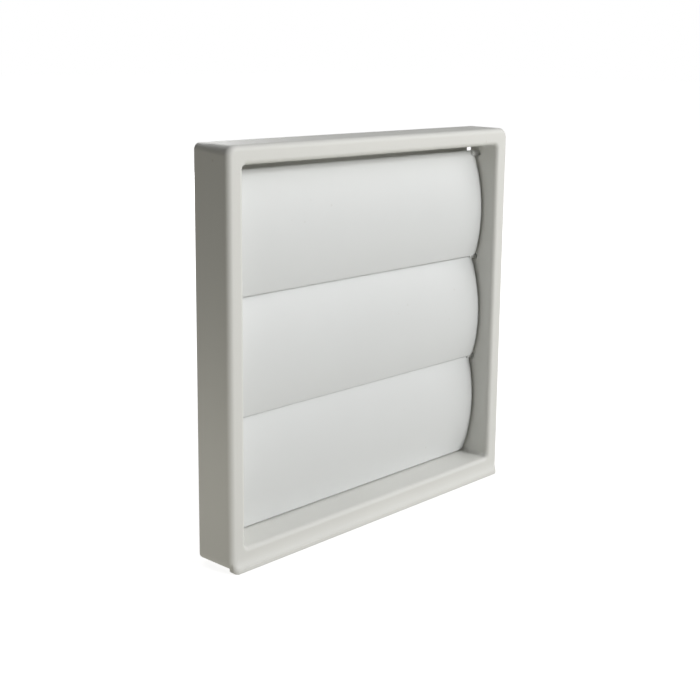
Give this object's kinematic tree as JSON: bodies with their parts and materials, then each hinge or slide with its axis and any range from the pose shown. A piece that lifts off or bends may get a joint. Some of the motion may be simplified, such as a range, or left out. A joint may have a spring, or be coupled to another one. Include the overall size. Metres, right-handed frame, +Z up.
{
  "type": "gravity flap wall vent",
  "caption": "Square wall outlet for an extractor-fan duct, with curved flaps that swing open in the air stream and fall shut, and a short round spigot behind.",
  "frame": {"origin": "on the duct's axis in the wall plane, which is the plane of the surround's rear edge, at the middle of the four wall plugs", "axes": "+X to the right seen from outside, +Y into the wall along the duct, +Z up; the front of the vent faces -Y"},
  "size_m": [0.14, 0.036, 0.1406],
  "materials": {
    "frame_plastic": "satin moulded, off-white",
    "flap_plastic": "satin moulded, cool white",
    "screw_steel": "zinc plated",
    "plug_plastic": "moulded nylon, red-brown"
  },
  "bodies": {
    "surround": {"outer_frame": "frame_plastic", "back_plate": "frame_plastic", "duct_spigot": "frame_plastic", "screw_1": "screw_steel", "screw_2": "screw_steel", "screw_3": "screw_steel", "screw_4": "screw_steel", "wall_plug_1": "plug_plastic", "wall_plug_2": "plug_plastic", "wall_plug_3": "plug_plastic", "wall_plug_4": "plug_plastic"},
    "top_flap": {"flap_top": "flap_plastic"},
    "middle_flap": {"flap_middle": "flap_plastic"},
    "bottom_flap": {"flap_bottom": "flap_plastic"}
  },
  "joints": [
    {"name": "top_flap_swing", "type": "hinge", "parent": "surround", "child": "top_flap", "pos_m": [0, -0.0059, 0.0598], "axis": [-1, 0, 0], "range_deg": [0, 85]},
    {"name": "middle_flap_swing", "type": "hinge", "parent": "surround", "child": "middle_flap", "pos_m": [0, -0.0059, 0.01893], "axis": [-1, 0, 0], "range_deg": [0, 60]},
    {"name": "bottom_flap_swing", "type": "hinge", "parent": "surround", "child": "bottom_flap", "pos_m": [0, -0.0059, -0.02193], "axis": [-1, 0, 0], "range_deg": [0, 65]}
  ]
}
